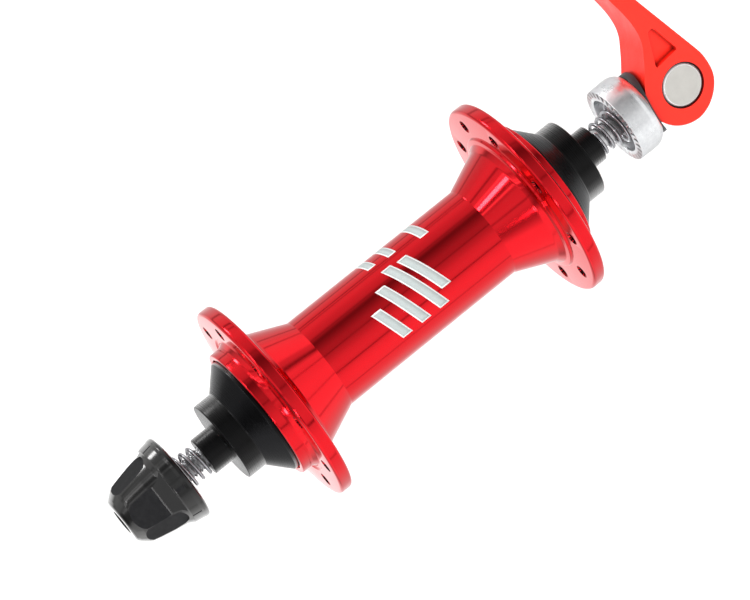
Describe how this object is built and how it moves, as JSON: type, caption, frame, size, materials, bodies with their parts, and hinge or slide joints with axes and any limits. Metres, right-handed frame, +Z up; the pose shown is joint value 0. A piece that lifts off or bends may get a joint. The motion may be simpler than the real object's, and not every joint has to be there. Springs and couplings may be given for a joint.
{
  "type": "bicycle front hub with quick release",
  "caption": "Front bicycle hub for radial spokes: red flanged shell on cartridge bearings, black end caps, skewer with cam lever and flanged nut.",
  "frame": {"origin": "on the spin axis, midway between the two spoke flanges and midway between the two clamping faces of the end caps", "axes": "+Y along the spin axis from the nut side to the lever side, which is the bicycle's left; +Z up, along the fork legs; +X the riding direction"},
  "size_m": [0.0579, 0.1623, 0.069],
  "materials": {
    "red_anodised": "gloss red anodising over turned aluminium",
    "bare_aluminium": "turned, unfinished",
    "black_anodised": "satin black anodising",
    "rubber_black": "matt nitrile rubber",
    "bearing_steel": "ground bearing steel",
    "ball_steel": "polished",
    "cage_nylon": "natural nylon",
    "rod_steel": "drawn rod, rolled thread at the nut end",
    "pin_steel": "turned end face",
    "orange_anodised": "satin orange-red anodising over forged aluminium",
    "bushing_plastic": "moulded acetal",
    "seat_silver": "silver, lightly grained",
    "spring_steel": "drawn wire",
    "washer_steel": "zinc plated, serrated",
    "nut_black": "semi-gloss black",
    "insert_steel": "plain turned",
    "lock_nylon": "white nylon"
  },
  "bodies": {
    "axle_set": {"axle": "bare_aluminium", "end_cap_right": "black_anodised", "end_cap_left": "black_anodised", "cap_oring_right": "rubber_black", "cap_oring_left": "rubber_black", "inner_race_right": "bearing_steel", "inner_race_left": "bearing_steel"},
    "rotor": {"hub_shell": "red_anodised", "outer_race_right": "bearing_steel", "outer_race_left": "bearing_steel", "outboard_seal_right": "rubber_black", "outboard_seal_left": "rubber_black", "inboard_seal_right": "rubber_black", "inboard_seal_left": "rubber_black"},
    "cage_right": {"bearing_balls_right": "ball_steel", "ball_cage_right": "cage_nylon"},
    "cage_left": {"bearing_balls_left": "ball_steel", "ball_cage_left": "cage_nylon"},
    "seat_set": {"clamp_seat": "seat_silver", "cam_bushing": "bushing_plastic", "lever_spring": "spring_steel"},
    "skewer_set": {"skewer_rod": "rod_steel", "pivot_pin": "pin_steel"},
    "lever": {"qr_lever": "orange_anodised"},
    "washer_set": {"nut_washer": "washer_steel", "nut_spring": "spring_steel"},
    "nut_set": {"nut_body": "nut_black", "nut_insert": "insert_steel", "nut_lock_ring": "lock_nylon"}
  },
  "joints": [
    {"name": "hub_spin", "type": "hinge", "parent": "axle_set", "child": "rotor", "pos_m": [0, 0, 0], "axis": [0, 1, 0], "continuous": true},
    {"name": "cage_right_spin", "type": "hinge", "parent": "axle_set", "child": "cage_right", "pos_m": [0, 0, 0], "axis": [0, 1, 0], "continuous": true},
    {"name": "cage_left_spin", "type": "hinge", "parent": "axle_set", "child": "cage_left", "pos_m": [0, 0, 0], "axis": [0, 1, 0], "continuous": true},
    {"name": "skewer_swivel", "type": "hinge", "parent": "axle_set", "child": "seat_set", "pos_m": [0, 0, 0], "axis": [0, 1, 0], "continuous": true},
    {"name": "skewer_draw", "type": "slide", "parent": "seat_set", "child": "skewer_set", "axis": [0, -1, 0], "range_m": [0, 0.0012], "deforming": ["nut_spring"]},
    {"name": "lever_swing", "type": "hinge", "parent": "skewer_set", "child": "lever", "pos_m": [0, 0.07758, 0], "axis": [-0.8141, 0, -0.5807], "range_deg": [0, 180]},
    {"name": "nut_travel", "type": "slide", "parent": "skewer_set", "child": "washer_set", "axis": [0, -1, 0], "range_m": [0, 0.0096], "deforming": ["nut_spring"]},
    {"name": "nut_turn", "type": "hinge", "parent": "washer_set", "child": "nut_set", "pos_m": [0, -0.065, 0], "axis": [0, -1, 0], "range_deg": [0, 4320]}
  ],
  "couplings": [
    {"joint": "cage_right_spin", "follows": "hub_spin", "ratio": 0.5814},
    {"joint": "cage_left_spin", "follows": "hub_spin", "ratio": 0.5814},
    {"joint": "lever_swing", "follows": "skewer_draw", "rad_per_m": 2618},
    {"joint": "nut_turn", "follows": "nut_travel", "rad_per_m": 7854}
  ]
}
